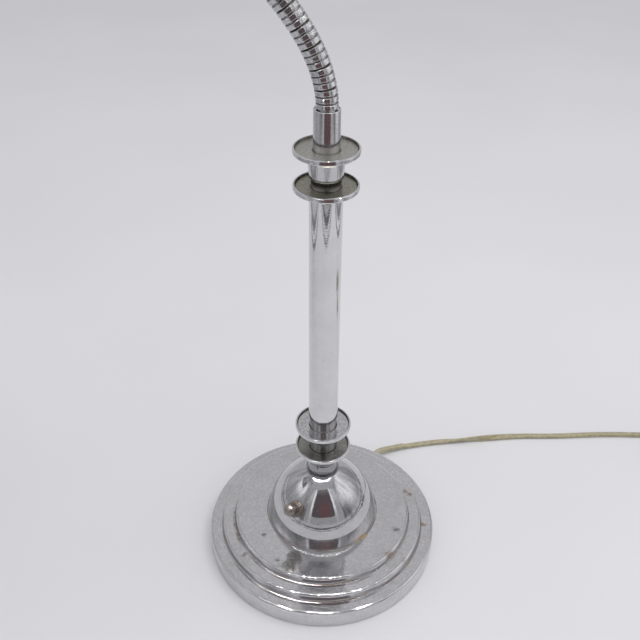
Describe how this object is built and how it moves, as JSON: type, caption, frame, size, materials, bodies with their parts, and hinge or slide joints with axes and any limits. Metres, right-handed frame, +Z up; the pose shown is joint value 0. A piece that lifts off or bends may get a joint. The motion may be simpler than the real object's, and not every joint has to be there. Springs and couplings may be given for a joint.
{
  "type": "gooseneck desk lamp",
  "caption": "Table lamp with a stepped round base, push switch, saucer-ringed column, bendable ribbed neck and bell shade.",
  "frame": {"origin": "centre of the underside of the round base, on the surface it stands on", "axes": "+Z up along the column; the neck arches to -X in the XZ plane; the switch is at the front (-Y, -X); the cord leaves at the back towards +X"},
  "size_m": [0.7035, 0.203, 0.4546],
  "materials": {
    "chrome": "bright plated, aged, with pits and brown stains",
    "chrome_neck": "bright plated ribs, dark in the grooves",
    "chrome_dull": "dulled plating",
    "shade_metal": "bright plated outside, satin inside",
    "iron": "as cast, grey",
    "felt": "green felt",
    "black_fibre": "black fibre",
    "brass": "plain brass",
    "steel": "plain steel",
    "nickel": "worn nickel plate with brass showing",
    "bakelite": "brown moulded",
    "cord_cover": "aged olive plastic, slightly translucent",
    "lamp_glass": "frosted"
  },
  "bodies": {
    "base": {"base_felt": "felt", "base_weight": "iron", "base_shell": "chrome_dull", "dome": "chrome", "dome_seat": "black_fibre", "flared_collar": "chrome", "saucer_1": "chrome", "spacer_1": "chrome", "saucer_2": "chrome", "tube_collar": "chrome", "column_tube": "chrome", "saucer_3": "chrome", "spacer_2": "chrome", "saucer_4": "chrome", "ferrule": "chrome", "stem_pipe": "steel", "stem_nuts": "steel", "stem_washer": "steel", "lead_wire": "cord_cover", "switch_body": "nickel", "switch_rings": "nickel", "cord_bushing": "black_fibre", "cord": "cord_cover", "cord_coil": "cord_cover", "plug_body": "bakelite", "plug_blades": "brass", "neck_root": "brass"},
    "push_button": {"switch_button": "nickel"},
    "neck_01": {"neck_section_01": "chrome_neck"},
    "neck_02": {"neck_section_02": "chrome_neck"},
    "neck_03": {"neck_section_03": "chrome_neck"},
    "neck_04": {"neck_section_04": "chrome_neck"},
    "neck_05": {"neck_section_05": "chrome_neck"},
    "neck_06": {"neck_section_06": "chrome_neck"},
    "neck_07": {"neck_section_07": "chrome_neck"},
    "neck_08": {"neck_section_08": "chrome_neck"},
    "neck_09": {"neck_section_09": "chrome_neck"},
    "neck_10": {"neck_section_10": "chrome_neck"},
    "neck_11": {"neck_section_11": "chrome_neck"},
    "neck_12": {"neck_section_12": "chrome_neck"},
    "neck_13": {"neck_section_13": "chrome_neck"},
    "neck_14": {"neck_section_14": "chrome_neck"},
    "neck_15": {"neck_section_15": "chrome_neck"},
    "neck_16": {"neck_section_16": "chrome_neck"},
    "neck_17": {"neck_section_17": "chrome_neck"},
    "neck_18": {"neck_section_18": "chrome_neck"},
    "neck_19": {"neck_section_19": "chrome_neck"},
    "neck_20": {"neck_section_20": "chrome_neck"},
    "neck_21": {"neck_section_21": "chrome_neck"},
    "neck_22": {"neck_section_22": "chrome_neck"},
    "neck_23": {"neck_section_23": "chrome_neck"},
    "neck_24": {"neck_section_24": "chrome_neck"},
    "head": {"neck_tip": "chrome", "socket_cap": "chrome", "shade": "shade_metal", "shade_ring": "bakelite", "socket_body": "bakelite", "screw_shell": "brass", "bulb_cap": "brass", "bulb_glass": "lamp_glass"}
  },
  "joints": [
    {"name": "neck_lower_bend_01", "type": "hinge", "parent": "base", "child": "neck_01", "pos_m": [0, 0, 0.3425], "axis": [0, -1, 0], "range_deg": [-8, 3]},
    {"name": "neck_lower_bend_02", "type": "hinge", "parent": "neck_01", "child": "neck_02", "pos_m": [-0.00111, 0, 0.35413], "axis": [0, -1, 0], "range_deg": [-8, 3]},
    {"name": "neck_sway_03", "type": "hinge", "parent": "neck_02", "child": "neck_03", "pos_m": [-0.00423, 0, 0.36539], "axis": [0.9394, 0, 0.3428], "range_deg": [-6, 6]},
    {"name": "neck_lower_bend_04", "type": "hinge", "parent": "neck_03", "child": "neck_04", "pos_m": [-0.00894, 0, 0.3761], "axis": [0, -1, 0], "range_deg": [-8, 3]},
    {"name": "neck_lower_bend_05", "type": "hinge", "parent": "neck_04", "child": "neck_05", "pos_m": [-0.01483, 0, 0.3862], "axis": [0, -1, 0], "range_deg": [-8, 3]},
    {"name": "neck_sway_06", "type": "hinge", "parent": "neck_05", "child": "neck_06", "pos_m": [-0.02158, 0, 0.39575], "axis": [0.7955, 0, 0.606], "range_deg": [-6, 6]},
    {"name": "neck_lower_bend_07", "type": "hinge", "parent": "neck_06", "child": "neck_07", "pos_m": [-0.029, 0, 0.40479], "axis": [0, -1, 0], "range_deg": [-8, 3]},
    {"name": "neck_lower_bend_08", "type": "hinge", "parent": "neck_07", "child": "neck_08", "pos_m": [-0.03707, 0, 0.41326], "axis": [0, -1, 0], "range_deg": [-8, 3]},
    {"name": "neck_sway_09", "type": "hinge", "parent": "neck_08", "child": "neck_09", "pos_m": [-0.04573, 0, 0.42112], "axis": [0.6441, 0, 0.7649], "range_deg": [-6, 6]},
    {"name": "neck_lower_bend_10", "type": "hinge", "parent": "neck_09", "child": "neck_10", "pos_m": [-0.05495, 0, 0.42832], "axis": [0, -1, 0], "range_deg": [-8, 3]},
    {"name": "neck_lower_bend_11", "type": "hinge", "parent": "neck_10", "child": "neck_11", "pos_m": [-0.06479, 0, 0.43464], "axis": [0, -1, 0], "range_deg": [-8, 3]},
    {"name": "neck_sway_12", "type": "hinge", "parent": "neck_11", "child": "neck_12", "pos_m": [-0.07527, 0, 0.43982], "axis": [0.3923, 0, 0.9198], "range_deg": [-6, 6]},
    {"name": "neck_lower_bend_13", "type": "hinge", "parent": "neck_12", "child": "neck_13", "pos_m": [-0.08627, 0, 0.4438], "axis": [0, -1, 0], "range_deg": [-8, 3]},
    {"name": "neck_upper_bend_14", "type": "hinge", "parent": "neck_13", "child": "neck_14", "pos_m": [-0.09764, 0, 0.44653], "axis": [0, -1, 0], "range_deg": [-8, 4]},
    {"name": "neck_sway_15", "type": "hinge", "parent": "neck_14", "child": "neck_15", "pos_m": [-0.10925, 0, 0.44798], "axis": [0.068, 0, 0.9977], "range_deg": [-6, 6]},
    {"name": "neck_upper_bend_16", "type": "hinge", "parent": "neck_15", "child": "neck_16", "pos_m": [-0.12094, 0, 0.44812], "axis": [0, -1, 0], "range_deg": [-8, 4]},
    {"name": "neck_upper_bend_17", "type": "hinge", "parent": "neck_16", "child": "neck_17", "pos_m": [-0.13257, 0, 0.44696], "axis": [0, -1, 0], "range_deg": [-8, 4]},
    {"name": "neck_sway_18", "type": "hinge", "parent": "neck_17", "child": "neck_18", "pos_m": [-0.14401, 0, 0.44451], "axis": [-0.2639, 0, 0.9646], "range_deg": [-6, 6]},
    {"name": "neck_upper_bend_19", "type": "hinge", "parent": "neck_18", "child": "neck_19", "pos_m": [-0.1551, 0, 0.4408], "axis": [0, -1, 0], "range_deg": [-8, 4]},
    {"name": "neck_upper_bend_20", "type": "hinge", "parent": "neck_19", "child": "neck_20", "pos_m": [-0.1657, 0, 0.43587], "axis": [0, -1, 0], "range_deg": [-8, 4]},
    {"name": "neck_sway_21", "type": "hinge", "parent": "neck_20", "child": "neck_21", "pos_m": [-0.1757, 0, 0.4298], "axis": [-0.5664, 0, 0.8241], "range_deg": [-6, 6]},
    {"name": "neck_upper_bend_22", "type": "hinge", "parent": "neck_21", "child": "neck_22", "pos_m": [-0.18495, 0, 0.42265], "axis": [0, -1, 0], "range_deg": [-8, 4]},
    {"name": "neck_upper_bend_23", "type": "hinge", "parent": "neck_22", "child": "neck_23", "pos_m": [-0.19335, 0, 0.41451], "axis": [0, -1, 0], "range_deg": [-8, 4]},
    {"name": "neck_sway_24", "type": "hinge", "parent": "neck_23", "child": "neck_24", "pos_m": [-0.20079, 0, 0.40549], "axis": [-0.8059, 0, 0.592], "range_deg": [-6, 6]},
    {"name": "neck_upper_bend_25", "type": "hinge", "parent": "neck_24", "child": "head", "pos_m": [-0.20717, 0, 0.39569], "axis": [0, -1, 0], "range_deg": [-8, 4]},
    {"name": "button_press", "type": "slide", "parent": "base", "child": "push_button", "axis": [0.4873, 0.6585, -0.5736], "range_m": [0, 0.0025], "stiffness_N_per_m": 400}
  ],
  "couplings": [
    {"joint": "neck_lower_bend_02", "follows": "neck_lower_bend_01", "ratio": 1},
    {"joint": "neck_lower_bend_04", "follows": "neck_lower_bend_01", "ratio": 1},
    {"joint": "neck_lower_bend_05", "follows": "neck_lower_bend_01", "ratio": 1},
    {"joint": "neck_sway_06", "follows": "neck_sway_03", "ratio": 1},
    {"joint": "neck_lower_bend_07", "follows": "neck_lower_bend_01", "ratio": 1},
    {"joint": "neck_lower_bend_08", "follows": "neck_lower_bend_01", "ratio": 1},
    {"joint": "neck_sway_09", "follows": "neck_sway_03", "ratio": 1},
    {"joint": "neck_lower_bend_10", "follows": "neck_lower_bend_01", "ratio": 1},
    {"joint": "neck_lower_bend_11", "follows": "neck_lower_bend_01", "ratio": 1},
    {"joint": "neck_sway_12", "follows": "neck_sway_03", "ratio": 1},
    {"joint": "neck_lower_bend_13", "follows": "neck_lower_bend_01", "ratio": 1},
    {"joint": "neck_sway_15", "follows": "neck_sway_03", "ratio": 1},
    {"joint": "neck_upper_bend_16", "follows": "neck_upper_bend_14", "ratio": 1},
    {"joint": "neck_upper_bend_17", "follows": "neck_upper_bend_14", "ratio": 1},
    {"joint": "neck_sway_18", "follows": "neck_sway_03", "ratio": 1},
    {"joint": "neck_upper_bend_19", "follows": "neck_upper_bend_14", "ratio": 1},
    {"joint": "neck_upper_bend_20", "follows": "neck_upper_bend_14", "ratio": 1},
    {"joint": "neck_sway_21", "follows": "neck_sway_03", "ratio": 1},
    {"joint": "neck_upper_bend_22", "follows": "neck_upper_bend_14", "ratio": 1},
    {"joint": "neck_upper_bend_23", "follows": "neck_upper_bend_14", "ratio": 1},
    {"joint": "neck_sway_24", "follows": "neck_sway_03", "ratio": 1},
    {"joint": "neck_upper_bend_25", "follows": "neck_upper_bend_14", "ratio": 1}
  ]
}
